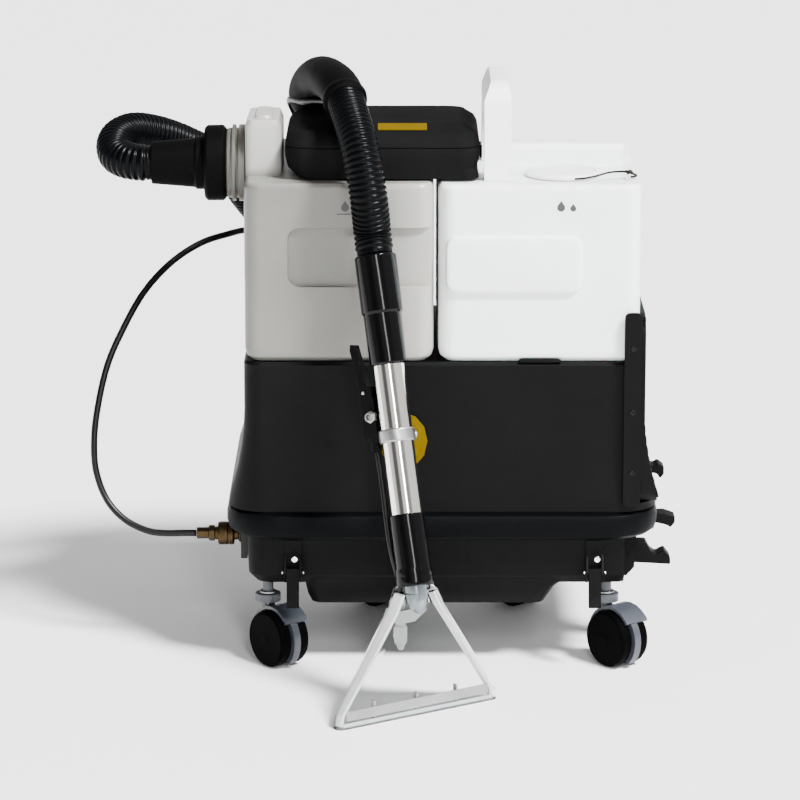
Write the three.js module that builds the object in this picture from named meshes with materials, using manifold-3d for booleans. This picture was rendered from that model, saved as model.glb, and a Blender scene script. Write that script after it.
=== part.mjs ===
// Spray-and-suction carpet cleaner: wheeled base, two lift-off tanks, motor head, hoses and hand wand.
// Units are millimetres. X runs along the machine (right), Y goes to the back, Z is up, floor at Z = 0.
// The machine is laid out about its own centre; the last lines move the origin to the middle of the footprint.
import * as THREE from "three";
import { mergeVertices } from "three/addons/utils/BufferGeometryUtils.js";
import Module from "manifold-3d";

const wasm = await Module();
wasm.setup();

// ---------------------------------------------------------------- driving dimensions
const GAP = 0.3;                 // clearance left between touching pieces
const BODY_LENGTH = 400;
const BODY_DEPTH = 290;
const CHASSIS_LOW = 66;          // underside of the deep middle of the tray
const POD_LOW = 88;              // underside of the raised corners over the casters
const BUMPER_LOW = 138;
const BUMPER_TOP = 166;
const SHELL_TOP = 320;
const TANK_TOP = 500;
const TANK_SPLIT = -7;           // X of the gap between the two tanks
const WALL = 3;
const HEAD_LOW = 503;
const HEAD_SEAM = 534;
const HEAD_TOP = 554;
const HEAD_LEFT = -158;
const HEAD_RIGHT = 37;
const HEAD_FRONT = -131;
const HEAD_BACK = 38;
const PORT = { y: -50, z: 507 }; // axis of the suction port
const HOSE_D = 38;
const THIN_D = 7;
const CASTERS = {                // X and Y of each stem
  front_left: [-178, -112],
  front_right: [168, -112],
  rear_left: [-75, 112],
  rear_right: [75, 112],
};
const WHEEL_R = 29;
const TRAIL = 18;                // caster trail
const TRAIL_DIR = new THREE.Vector3(0.62, -0.785, 0).normalize();
const NOZZLE_YAW = 34;           // degrees
const NOZZLE_FOOT = new THREE.Vector3(-27.5, -292, 0);
const NOZZLE_WIDTH = 190;
const NOZZLE_HEIGHT = 128;
const WAND_TOP = new THREE.Vector3(-67.3, -190, 438);
const VALVE_SIDE = 144;          // degrees around the wand from +X

// ---------------------------------------------------------------- materials
const tint = (name, color, roughness, metalness = 0) =>
  Object.assign(new THREE.MeshStandardMaterial({ color, roughness, metalness }), { name });
const BLACK = tint("black_moulding", 0x232326, 0.55);
const BUMPER = tint("bumper_moulding", 0x2b2c30, 0.6);
const GLOSS = tint("gloss_black", 0x141416, 0.2);
const MILKY = tint("milky_tank", 0xe9ebe8, 0.4);
const RUBBER = tint("hose_rubber", 0x1b1b1d, 0.7);
const STEEL = tint("steel_tube", 0xb9bab8, 0.3, 1);
const BRASS = tint("brass_fitting", 0xa88a55, 0.35, 1);
const CLEAR = tint("clear_nozzle", 0xdfe4e4, 0.15);
const YELLOW = tint("yellow_trim", 0xd9a520, 0.5);
const GREY = tint("grey_zinc", 0x9a9c9c, 0.5, 1);

// ---------------------------------------------------------------- solid helpers
function solid(geometry) {
  const g = geometry.clone();
  g.deleteAttribute("normal");
  g.deleteAttribute("uv");
  const welded = mergeVertices(g, 1e-4);
  const index = Array.from(welded.index.array);
  const kept = [];
  for (let i = 0; i < index.length; i += 3) {
    const [a, b, c] = index.slice(i, i + 3);
    if (a !== b && b !== c && a !== c) kept.push(a, b, c);
  }
  const vertProperties = Float32Array.from(welded.attributes.position.array);
  const triVerts = Uint32Array.from(kept);
  return new wasm.Manifold(new wasm.Mesh({ numProp: 3, vertProperties, triVerts }));
}

function geometryOf(manifold) {
  const mesh = manifold.getMesh();
  const g = new THREE.BufferGeometry();
  const xyz = new Float32Array(mesh.numVert * 3);
  for (let i = 0; i < mesh.numVert; i += 1) {
    for (let k = 0; k < 3; k += 1) xyz[3 * i + k] = mesh.vertProperties[mesh.numProp * i + k];
  }
  g.setAttribute("position", new THREE.BufferAttribute(xyz, 3));
  g.setIndex(new THREE.BufferAttribute(Uint32Array.from(mesh.triVerts), 1));
  g.computeVertexNormals();
  return g;
}

const join = (...solids) => solids.reduce((a, b) => a.add(b));
const cut = (base, ...tools) => tools.reduce((a, b) => a.subtract(b), base);

function block(x0, x1, y0, y1, z0, z1) {
  const g = new THREE.BoxGeometry(x1 - x0, y1 - y0, z1 - z0);
  g.translate((x0 + x1) / 2, (y0 + y1) / 2, (z0 + z1) / 2);
  return solid(g);
}

// Ring of points for a rounded rectangle from (x0, y0) to (x1, y1) at height z.
function ring(x0, x1, y0, y1, radius, z, perCorner = 5) {
  const r = Math.min(radius, (x1 - x0) / 2 - 0.01, (y1 - y0) / 2 - 0.01);
  const centres = [[x1 - r, y1 - r], [x0 + r, y1 - r], [x0 + r, y0 + r], [x1 - r, y0 + r]];
  const points = [];
  centres.forEach(([cx, cy], corner) => {
    for (let i = 0; i < perCorner; i += 1) {
      const angle = (corner + i / (perCorner - 1)) * Math.PI / 2;
      points.push(new THREE.Vector3(cx + r * Math.cos(angle), cy + r * Math.sin(angle), z));
    }
  });
  return points;
}

// Closed skin through rings that all have the same number of points, listed from the bottom up.
function loft(rings) {
  const n = rings[0].length;
  const xyz = [];
  rings.forEach((points) => points.forEach((p) => xyz.push(p.x, p.y, p.z)));
  const index = [];
  for (let j = 0; j + 1 < rings.length; j += 1) {
    for (let i = 0; i < n; i += 1) {
      const a = j * n + i;
      const b = j * n + (i + 1) % n;
      index.push(a, b, b + n, a, b + n, a + n);
    }
  }
  [[0, false], [rings.length - 1, true]].forEach(([j, up]) => {
    const mid = rings[j].reduce((s, p) => s.add(p), new THREE.Vector3()).divideScalar(n);
    xyz.push(mid.x, mid.y, mid.z);
    const m = xyz.length / 3 - 1;
    for (let i = 0; i < n; i += 1) {
      const a = j * n + i;
      const b = j * n + (i + 1) % n;
      if (up) index.push(m, a, b);
      else index.push(m, b, a);
    }
  });
  const g = new THREE.BufferGeometry();
  g.setAttribute("position", new THREE.BufferAttribute(Float32Array.from(xyz), 3));
  g.setIndex(index);
  return solid(g);
}

// Turned solid about an axis line: profile is a list of [radius, distance along the axis].
function turned(profile, origin, direction, segments = 24) {
  const points = profile.map(([r, t]) => new THREE.Vector2(r, t));
  if (profile[0][0] > 0) points.push(points[0].clone());
  const g = new THREE.LatheGeometry(points, segments);
  const turn = new THREE.Quaternion();
  turn.setFromUnitVectors(new THREE.Vector3(0, 1, 0), direction.clone().normalize());
  g.applyQuaternion(turn);
  g.translate(origin.x, origin.y, origin.z);
  return solid(g);
}

function rod(from, to, radius, segments = 16) {
  const axis = to.clone().sub(from);
  const length = axis.length();
  return turned([[0, 0], [radius, 0], [radius, length], [0, length]], from, axis, segments);
}

// Flat outline drawn in a plane and thickened: axes u and v span the plane, the thickness goes along u x v.
function plate(outline, thickness, origin, u, v) {
  const g = new THREE.ExtrudeGeometry(outline, { depth: thickness, bevelEnabled: false, curveSegments: 6 });
  const w = u.clone().cross(v);
  g.applyMatrix4(new THREE.Matrix4().makeBasis(u, v, w).setPosition(origin));
  return solid(g);
}

function roundedOutline(x0, x1, y0, y1, r) {
  const s = new THREE.Shape();
  s.moveTo(x0 + r, y0);
  s.lineTo(x1 - r, y0);
  s.quadraticCurveTo(x1, y0, x1, y0 + r);
  s.lineTo(x1, y1 - r);
  s.quadraticCurveTo(x1, y1, x1 - r, y1);
  s.lineTo(x0 + r, y1);
  s.quadraticCurveTo(x0, y1, x0, y1 - r);
  s.lineTo(x0, y0 + r);
  s.quadraticCurveTo(x0, y0, x0 + r, y0);
  return s;
}

function polygonOutline(points) {
  const s = new THREE.Shape();
  points.forEach(([x, y], i) => (i ? s.lineTo(x, y) : s.moveTo(x, y)));
  s.closePath();
  return s;
}

function softTube(points, diameter, sides, steps) {
  const curve = new THREE.CatmullRomCurve3(points.map((p) => new THREE.Vector3(...p)), false, "centripetal");
  const section = new THREE.Shape();
  for (let i = 0; i < sides; i += 1) {
    const a = (i / sides) * Math.PI * 2;
    const x = Math.cos(a) * diameter / 2;
    const y = Math.sin(a) * diameter / 2;
    if (i) section.lineTo(x, y);
    else section.moveTo(x, y);
  }
  section.closePath();
  return solid(new THREE.ExtrudeGeometry(section, { steps, extrudePath: curve, bevelEnabled: false }));
}

const V = (x, y, z) => new THREE.Vector3(x, y, z);
const X = V(1, 0, 0);
const Y = V(0, 1, 0);
const Z = V(0, 0, 1);
const group = new THREE.Group();
group.name = "carpet_cleaner";

function add(name, manifold, material) {
  const mesh = new THREE.Mesh(geometryOf(manifold), material);
  mesh.name = name;
  group.add(mesh);
}

// ---------------------------------------------------------------- base: tray, bumper and shell
const HX = BODY_LENGTH / 2;
const HY = BODY_DEPTH / 2;

function bodyRing(outX, outY, r, z) {
  return ring(-outX, outX, -outY, outY, r, z, 6);
}

const DEEP = { x0: -137, x1: 107, y0: -HY + 12, y1: 62 };
const trayOuter = join(
  loft([
    bodyRing(HX - 11, HY - 15, 14, POD_LOW),
    bodyRing(HX - 3, HY - 9, 16, POD_LOW + 9),
    bodyRing(HX - 1, HY - 7, 16, BUMPER_LOW - GAP),
  ]),
  loft([
    ring(DEEP.x0 + 4, DEEP.x1 - 3, DEEP.y0 + 4, DEEP.y1 - 4, 12, CHASSIS_LOW, 6),
    ring(DEEP.x0, DEEP.x1 + 2, DEEP.y0, DEEP.y1, 14, CHASSIS_LOW + 8, 6),
    ring(DEEP.x0 - 2, DEEP.x1 + 8, DEEP.y0 - 1, DEEP.y1, 14, CHASSIS_LOW + 17, 6),
    ring(DEEP.x0 - 3, DEEP.x1 + 18, DEEP.y0 - 1, DEEP.y1, 14, POD_LOW + 2, 6),
    ring(DEEP.x0 - 3, DEEP.x1 + 18, DEEP.y0 - 1, DEEP.y1, 14, POD_LOW + 20, 6),
  ]),
);
const trayInner = join(
  loft([
    bodyRing(HX - 16, HY - 21, 10, POD_LOW + 5),
    bodyRing(HX - 8, HY - 14, 12, BUMPER_LOW + 5),
  ]),
  loft([
    ring(DEEP.x0 + 9, DEEP.x1 - 8, DEEP.y0 + 9, DEEP.y1 - 9, 8, CHASSIS_LOW + 5, 6),
    ring(DEEP.x0 + 6, DEEP.x1 - 5, DEEP.y0 + 7, DEEP.y1 - 6, 10, POD_LOW + 6, 6),
  ]),
);
// The front right pod stops short of the side, in front of the wall that carries the cord hook.
const podNotch = (wall) => block(
  185 - wall, HX + 20, -HY - 20, -105 + wall, POD_LOW - 20, BUMPER_LOW + 20);
const couplingAxis = { y: -60, z: 121 };
add("chassis", cut(
  cut(trayOuter, podNotch(0)),
  cut(trayInner, podNotch(5)),
  rod(V(-HX - 5, couplingAxis.y, couplingAxis.z), V(-HX + 20, couplingAxis.y, couplingAxis.z), 8.4),
), BLACK);

const bumperSide = HX + 19.5;
const bumperFront = HY + 13;
add("bumper", cut(
  loft([
    bodyRing(bumperSide - 7, bumperFront - 7, 50, BUMPER_LOW),
    bodyRing(bumperSide - 1.5, bumperFront - 1.5, 55, BUMPER_LOW + 4),
    bodyRing(bumperSide, bumperFront, 56, BUMPER_LOW + 10),
    bodyRing(bumperSide, bumperFront, 56, BUMPER_TOP - 9),
    bodyRing(bumperSide - 2, bumperFront - 2, 54, BUMPER_TOP - 3),
    bodyRing(bumperSide - 7, bumperFront - 7, 50, BUMPER_TOP),
  ]),
  loft([
    bodyRing(HX - 12, HY - 18, 34, BUMPER_LOW - 5),
    bodyRing(HX - 12, HY - 18, 34, BUMPER_TOP + 5),
  ]),
), BUMPER);

const PANEL = { front: -150.5, back: 62, low: 174, top: 368, inner: HX - 2, outer: HX + 3 };
const SWITCH = { x: 96, z: 272, width: 22, height: 32, pitch: 40 };
const switchHoles = (extra) => [-1, 1].map((side) => {
  const x = SWITCH.x + side * SWITCH.pitch / 2;
  const halfWidth = SWITCH.width / 2 - 3 + extra;
  const halfHeight = SWITCH.height / 2 - 3 + extra;
  return block(x - halfWidth, x + halfWidth, HY - 20, HY + 10, SWITCH.z - halfHeight, SWITCH.z + halfHeight);
});
// How far the side of the shell stands out from its plain upper part, at heights down to the bumper.
const FLARE = [
  [BUMPER_TOP + GAP, 18, 4],
  [184, 15, 3],
  [196, 11, 2.2],
  [210, 7.5, 1.3],
  [230, 3.6, 0.6],
  [250, 1, 0.3],
  [270, 0, 0],
];
const shellOuter = loft([
  ...FLARE.map(([z, outX, outY]) => bodyRing(HX + outX, HY + outY, 18 + 1.3 * outX, z)),
  bodyRing(HX, HY, 18, SHELL_TOP - 3),
  bodyRing(HX - 3, HY - 3, 16, SHELL_TOP),
]);
const shellInner = loft([
  bodyRing(HX + 12, HY - 3, 34, BUMPER_TOP - 5),
  bodyRing(HX + 2, HY - 4, 26, 210),
  bodyRing(HX - 6, HY - 5, 16, 250),
  bodyRing(HX - 6, HY - 5, 14, SHELL_TOP - 6),
]);
add("body_shell", cut(
  shellOuter,
  shellInner,
  block(PANEL.inner - GAP, HX + 30, -HY - 20, PANEL.back + GAP, PANEL.low - GAP, SHELL_TOP + 20),
  block(SWITCH.x - 44, SWITCH.x + 44, HY - 1.2, HY + 20, SWITCH.z - 28, SWITCH.z + 28),
  ...switchHoles(1),
), BLACK);
add("shell_tab", loft([
  ring(75, 119, -HY - 0.6, -HY + 5.5, 2, SHELL_TOP + GAP),
  ring(77, 117, -HY - 0.2, -HY + 5, 2, SHELL_TOP + 3.4),
]), BLACK);

const badgeRing = (rx, rz) => {
  const s = new THREE.Shape();
  s.absellipse(0, 0, rx, rz, 0, Math.PI * 2, false, 0);
  return s;
};
add("front_badge", join(
  plate(badgeRing(24, 29), 2.2, V(-39.4, -HY - 1.8, 240), X, Z),
  plate(badgeRing(19.5, 24.5), 1.4, V(-39.4, -HY - 3.4, 240), X, Z),
), YELLOW);

// ---------------------------------------------------------------- side grille panel and cord hooks
const panelOutline = roundedOutline(PANEL.front, PANEL.back, PANEL.low, PANEL.top, 26);
const panelSection = polygonOutline([
  [PANEL.inner, PANEL.low - 2],
  [HX + 18, PANEL.low - 2],
  [HX + 15, 188],
  [HX + 10, 205],
  [HX + 5, 231],
  [PANEL.outer, 256],
  [PANEL.outer, PANEL.top + 2],
  [PANEL.inner, PANEL.top + 2],
]);
let panel = plate(panelOutline, 40, V(PANEL.inner, 0, 0), Y, Z)
  .intersect(plate(panelSection, 230, V(0, PANEL.back + 5, 0), X, Z));
const cellPitch = 28;
for (let row = 0; row < 6; row += 1) {
  for (let col = 0; col < 7; col += 1) {
    const y = PANEL.front + 30 + col * cellPitch + (row % 2) * cellPitch / 2;
    const z = PANEL.low + 30 + row * 27;
    if (y < PANEL.back - 22) {
      const cell = polygonOutline([[y - 10, z], [y, z + 11], [y + 10, z], [y, z - 11]]);
      panel = cut(panel, plate(cell, 30, V(PANEL.inner - 2, 0, 0), Y, Z));
    }
  }
}
const frontStrip = plate(roundedOutline(181.5, HX - 1, PANEL.low - 1.5, 372, 6), 4.2, V(0, -149.3, 0), X, Z);
add("side_grille", join(panel, frontStrip), BLACK);

const HOOKS = [
  { name: "cord_hook_top", x: HX + 15.4, z: 192, reach: 13.5, rise: -9 },
  { name: "cord_hook_middle", x: bumperSide, z: 150, reach: 21.4, rise: -9 },
  { name: "cord_hook_bottom", x: HX - 2, z: 102, reach: 38, rise: 9 },
];
HOOKS.forEach((h) => {
  const s = new THREE.Shape();
  const tip = h.x + GAP + h.reach;
  const sign = Math.sign(h.rise);
  s.moveTo(h.x + GAP, h.z - 5);
  s.lineTo(h.x + GAP, h.z + 5);
  s.lineTo(tip - 6, h.z + 3);
  if (sign > 0) {
    s.lineTo(tip - 4, h.z + 3 + h.rise);
    s.lineTo(tip, h.z + 2 + h.rise);
    s.lineTo(tip - 1, h.z - 2);
  } else {
    s.lineTo(tip, h.z + 1);
    s.lineTo(tip, h.z - 3 + h.rise);
    s.lineTo(tip - 4, h.z - 3 + h.rise);
    s.lineTo(tip - 6, h.z - 3);
  }
  s.closePath();
  const wide = 22;
  add(h.name, plate(s, wide, V(0, -60 + wide / 2, 0), X, Z), BLACK);
});

// ---------------------------------------------------------------- tanks
function tankLoft(x0, x1, inset, low, top, radius, y0 = -HY, y1 = HY) {
  const a = x0 + inset;
  const b = x1 - inset;
  return loft([
    ring(a + 8, b - 8, y0 + inset + 8, y1 - inset - 8, radius - 6, low),
    ring(a + 2, b - 2, y0 + inset + 2, y1 - inset - 2, radius - 1, low + 5),
    ring(a, b, y0 + inset, y1 - inset, radius, low + 12),
    ring(a, b, y0 + inset, y1 - inset, radius, top - 6),
    ring(a + 1.5, b - 1.5, y0 + inset + 1.5, y1 - inset - 1.5, radius - 1, top - 2),
    ring(a + 4, b - 4, y0 + inset + 4, y1 - inset - 4, radius - 3, top),
  ]);
}

const TANK_LOW = SHELL_TOP + GAP;
const LEFT = { x0: -HX + 1.5, x1: TANK_SPLIT - 2.2 };
const RIGHT = { x0: TANK_SPLIT + 2.2, x1: HX - 2.5 };
const RISER = { x0: LEFT.x0, x1: -161.6, y0: -96, y1: -4, top: 557 };
const frontRecess = plate(roundedOutline(-155, 40, 397, 457, 14), 8, V(0, -HY + 6, 0), X, Z);
const recessSkin = plate(roundedOutline(-155 - WALL, 40, 397 - WALL, 457 + WALL, 15), 8 + WALL,
  V(0, -HY + 6 + WALL, 0), X, Z);
const riser = (inset, low) => loft([
  ring(RISER.x0 + inset, RISER.x1 - inset, RISER.y0 + inset, RISER.y1 - inset, 9, low),
  ring(RISER.x0 + inset, RISER.x1 - inset, RISER.y0 + inset, RISER.y1 - inset, 9, RISER.top - 8 - inset),
  ring(RISER.x0 + inset + 3, RISER.x1 - inset - 3, RISER.y0 + inset + 3, RISER.y1 - inset - 3, 7,
    RISER.top - inset),
]);
const NECK = { x: -85, y: -45, r: 42 };
add("waste_tank", cut(
  join(
    cut(tankLoft(LEFT.x0, LEFT.x1, 0, TANK_LOW, TANK_TOP + 1, 16), frontRecess),
    riser(0, TANK_TOP - 20),
    loft([
      ring(RISER.x0 + 8, RISER.x1 - 8, RISER.y0 + 12, RISER.y1 - 12, 8, RISER.top - 2),
      ring(RISER.x0 + 11, RISER.x1 - 11, RISER.y0 + 15, RISER.y1 - 15, 6, RISER.top + 3),
    ]),
  ),
  join(cut(tankLoft(LEFT.x0, LEFT.x1, WALL, TANK_LOW + WALL, TANK_TOP + 1 - WALL, 14), recessSkin),
    riser(WALL, TANK_TOP - 30)),
  rod(V(LEFT.x0 - 5, PORT.y, PORT.z), V(LEFT.x0 + 10, PORT.y, PORT.z), 25, 24),
  rod(V(NECK.x, NECK.y, TANK_TOP - 12), V(NECK.x, NECK.y, TANK_TOP + 10), NECK.r, 28),
), MILKY);

const FILLER = { x: 121, y: -88, r: 31 };
const RIDGE = { x0: 71, x1: 185, y0: -22, y1: HY - 4, high: 523, low: 497 };
const ridgeOutline = (inset) => polygonOutline([
  [RIDGE.y0 + inset, RIDGE.low - 14],
  [RIDGE.y1 - inset, RIDGE.low - 14],
  [RIDGE.y1 - inset, RIDGE.low - inset],
  [RIDGE.y0 + 26, RIDGE.high - 3 - inset],
  [RIDGE.y0 + 14, RIDGE.high - inset],
  [RIDGE.y0 + 4 + inset / 2, RIDGE.high - 2 - inset],
  [RIDGE.y0 + inset, RIDGE.high - 7 - inset],
]);
const ridge = (inset) => plate(ridgeOutline(inset), RIDGE.x1 - RIDGE.x0 - 2 * inset,
  V(RIDGE.x0 + inset, 0, 0), Y, Z);
const bulge = loft([
  ring(2, 139, -60, 0, 12, 0),
  ring(4, 137, -58, -2, 11, 5),
  ring(8, 133, -54, -6, 9, 7),
]).rotate([90, 0, 0]).translate([0, -HY + 0.5, 450]);
const bulgeHollow = loft([
  ring(5, 136, -57, -3, 10, -WALL - 3),
  ring(7, 134, -55, -5, 9, 3),
  ring(11, 130, -51, -9, 7, 4),
]).rotate([90, 0, 0]).translate([0, -HY + 0.5, 450]);
add("clean_tank", cut(
  join(
    tankLoft(RIGHT.x0, RIGHT.x1, 0, TANK_LOW, TANK_TOP, 16),
    ridge(0),
    bulge,
    turned([[0, -4], [FILLER.r + 3, -4], [FILLER.r + 3, 1], [0, 1]], V(FILLER.x, FILLER.y, TANK_TOP), Z, 28),
  ),
  join(tankLoft(RIGHT.x0, RIGHT.x1, WALL, TANK_LOW + WALL, TANK_TOP - WALL, 14), ridge(WALL), bulgeHollow),
  rod(V(FILLER.x, FILLER.y, TANK_TOP - 14), V(FILLER.x, FILLER.y, TANK_TOP + 14), FILLER.r - 3, 28),
  block(74.6, 119.4, -HY - 2, -HY + 5.9, SHELL_TOP, SHELL_TOP + 3.8),
), MILKY);

const CAP_Z = TANK_TOP + 1 + GAP;
add("filler_cap", join(
  turned([[0, 0], [38, 0], [38, 3], [36, 4.5], [0, 4.5]], V(FILLER.x, FILLER.y, CAP_Z), Z, 32),
  turned([[0, -13], [FILLER.r - 4, -13], [FILLER.r - 4, 1], [0, 1]], V(FILLER.x, FILLER.y, CAP_Z), Z, 28),
), MILKY);

const HANDLE = { x0: 41, x1: 68, front: -122, back: 26, top: 598 };
const arch = new THREE.Shape();
arch.moveTo(HANDLE.front, TANK_TOP + GAP);
arch.lineTo(HANDLE.front + 4, HANDLE.top - 24);
arch.quadraticCurveTo(HANDLE.front + 6, HANDLE.top, HANDLE.front + 30, HANDLE.top);
arch.lineTo(HANDLE.back - 30, HANDLE.top);
arch.quadraticCurveTo(HANDLE.back - 4, HANDLE.top, HANDLE.back - 4, HANDLE.top - 24);
arch.lineTo(HANDLE.back, TANK_TOP + GAP);
arch.lineTo(HANDLE.back - 24, TANK_TOP + GAP);
arch.lineTo(HANDLE.back - 27, HANDLE.top - 42);
arch.quadraticCurveTo(HANDLE.back - 29, HANDLE.top - 24, HANDLE.back - 44, HANDLE.top - 24);
arch.lineTo(HANDLE.front + 44, HANDLE.top - 24);
arch.quadraticCurveTo(HANDLE.front + 29, HANDLE.top - 24, HANDLE.front + 27, HANDLE.top - 42);
arch.lineTo(HANDLE.front + 24, TANK_TOP + GAP);
arch.closePath();
const archProfile = loft([
  ring(HANDLE.x0, HANDLE.x1, HANDLE.front - 5, HANDLE.back + 5, 3, TANK_TOP),
  ring(HANDLE.x0, HANDLE.x1, HANDLE.front - 5, HANDLE.back + 5, 3, HANDLE.top - 18),
  ring(HANDLE.x0 + 7, HANDLE.x1 - 3, HANDLE.front - 5, HANDLE.back + 5, 3, HANDLE.top + 0.5),
]);
add("carry_handle",
  plate(arch, HANDLE.x1 - HANDLE.x0, V(HANDLE.x0, 0, 0), Y, Z).intersect(archProfile), MILKY);

const LUG = V(187, -114, TANK_TOP + GAP);
add("tether_lug", join(
  turned([[0, 0], [5, 0], [5, 1.5], [2.5, 2.5], [2.5, 5], [0, 5]], LUG, Z, 16),
), MILKY);

// ---------------------------------------------------------------- suction port, nut and hose cuff
const axisX = V(-1, 0, 0);
const portAt = (x) => V(x, PORT.y, PORT.z);
const ringProfile = (inner, outer, from, to, bevel) => [
  [inner, from],
  [outer - bevel, from],
  [outer, from + bevel],
  [outer, to - bevel],
  [outer - bevel, to],
  [inner, to],
];
const portFace = LEFT.x0 - GAP;
const PORT_LENGTH = 19.5;
add("tank_port", turned([
  [24, 0], [38, 0], [38, 5.5], [35.5, 6.5], [35.5, 18], [34, PORT_LENGTH], [24, PORT_LENGTH],
], portAt(portFace), axisX, 28), MILKY);
const nutFace = portFace - PORT_LENGTH - GAP;
add("hose_nut", turned(ringProfile(21.6, 38.3, 0, 22, 3), portAt(nutFace), axisX, 36), BLACK);
const cuffFrom = 22 + GAP;
const cuffTo = 76;
add("hose_cuff", turned([
  [15.5, -3],
  [21.2, -3],
  [21.2, cuffFrom],
  [27, cuffFrom],
  [27, cuffFrom + 8],
  [25, cuffFrom + 10],
  [21.5, cuffTo],
  [15.5, cuffTo],
], portAt(nutFace), axisX, 28), RUBBER);

// ---------------------------------------------------------------- motor head
const headRing = (inset, z, r = 20) => ring(
  HEAD_LEFT + inset, HEAD_RIGHT - inset, HEAD_FRONT + inset, HEAD_BACK - inset, r, z, 6);
add("motor_head_base", cut(
  join(
    loft([
      ring(HEAD_LEFT + 14, HEAD_RIGHT - 1, HEAD_FRONT + 3, HEAD_BACK - 8, 14, HEAD_LOW, 6),
      headRing(3, HEAD_LOW + 10, 20),
      headRing(0, HEAD_LOW + 22, 22),
      headRing(0, HEAD_SEAM, 22),
    ]),
    rod(V(NECK.x, NECK.y, HEAD_LOW - 20), V(NECK.x, NECK.y, HEAD_LOW + 5), NECK.r - 1.2, 28),
  ),
  loft([
    ring(HEAD_LEFT + 20, HEAD_RIGHT - 8, HEAD_FRONT + 9, HEAD_BACK - 14, 10, HEAD_LOW + 6, 6),
    ring(HEAD_LEFT + 5, HEAD_RIGHT - 5, HEAD_FRONT + 5, HEAD_BACK - 5, 18, HEAD_SEAM + 5, 6),
  ]),
  rod(V(NECK.x, NECK.y, HEAD_LOW - 30), V(NECK.x, NECK.y, HEAD_LOW + 15), NECK.r - 5, 28),
), BLACK);
const coverRing = (front, side, back, r, z) => ring(
  HEAD_LEFT + side, HEAD_RIGHT - side, HEAD_FRONT + front, HEAD_BACK - back, r, z, 6);
add("motor_head_cover", cut(
  loft([
    coverRing(0, 0, 0, 22, HEAD_SEAM + GAP),
    coverRing(1.5, 1, 1, 22, HEAD_SEAM + 7),
    coverRing(7, 4, 3, 22, HEAD_SEAM + 13),
    coverRing(14, 8, 6, 20, HEAD_TOP - 4.5),
    coverRing(38, 14, 10, 18, HEAD_TOP - 0.4),
    coverRing(44, 20, 14, 14, HEAD_TOP),
  ]),
  loft([
    coverRing(5, 4, 4, 18, HEAD_SEAM - 2),
    coverRing(6, 5, 5, 18, HEAD_SEAM + 6),
    coverRing(18, 13, 10, 18, HEAD_TOP - 8),
    coverRing(42, 20, 15, 14, HEAD_TOP - 4),
  ]),
), BLACK);
const stripTilt = Math.atan2(4.1, 24);
const stripUp = V(0, Math.cos(stripTilt), Math.sin(stripTilt));
add("head_strip", plate(roundedOutline(-65, -16, -10, 10, 1.5), 0.8,
  V(0, HEAD_FRONT + 26, HEAD_TOP - 2.05), X, stripUp), YELLOW);
add("head_catch", loft([
  ring(HEAD_RIGHT + GAP, HEAD_RIGHT + 2.6, -88, -62, 1, HEAD_SEAM - 16),
  ring(HEAD_RIGHT + GAP, HEAD_RIGHT + 2.6, -88, -62, 1, HEAD_SEAM - 3),
]), GLOSS);

// ---------------------------------------------------------------- parts inside the base
add("vacuum_motor", join(
  turned([[0, 0], [56, 0], [56, 48], [44, 52], [44, 104], [30, 112], [0, 112]], V(85, 20, 100), Z, 28),
  block(30, 140, 8, 32, 96, 101),
), GREY);
add("solution_pump", join(
  block(-120, -44, 10, 70, 96, 146),
  rod(V(-45, 40, 121), V(10, 40, 121), 22, 20),
), BLACK);

// ---------------------------------------------------------------- rear switches and cord entry
add("switch_plate", cut(
  plate(roundedOutline(SWITCH.x - 43, SWITCH.x + 43, SWITCH.z - 27, SWITCH.z + 27, 4), 2.8,
    V(0, HY + 2, 0), X, Z),
  ...switchHoles(0),
), GLOSS);
const ROCKER_TILT = 7;           // degrees, pressed at the bottom
const ROCKER_PIVOT = HY - 1;
[["left", -1], ["right", 1]].forEach(([name, way]) => {
  const x = SWITCH.x + way * SWITCH.pitch / 2;
  const rocker = polygonOutline([[-3, -8], [2, -12.3], [6.5, -12.4], [4.4, 0], [6.5, 12.4], [2, 12.3], [-3, 8]]);
  const width = SWITCH.width - 6.8;
  const body = plate(rocker, width, V(-width / 2, 0, 0), Y, Z);
  add(`switch_rocker_${name}`, body.rotate([ROCKER_TILT, 0, 0]).translate([x, ROCKER_PIVOT, SWITCH.z]), GLOSS);
});
add("cord_gland", turned([
  [0, 0], [12, 0], [12, 5], [8, 8], [6.5, 30], [4, 30], [4, 12], [0, 12],
], V(150, HY - 7 + GAP, 120), Y, 20), BLACK);

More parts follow.
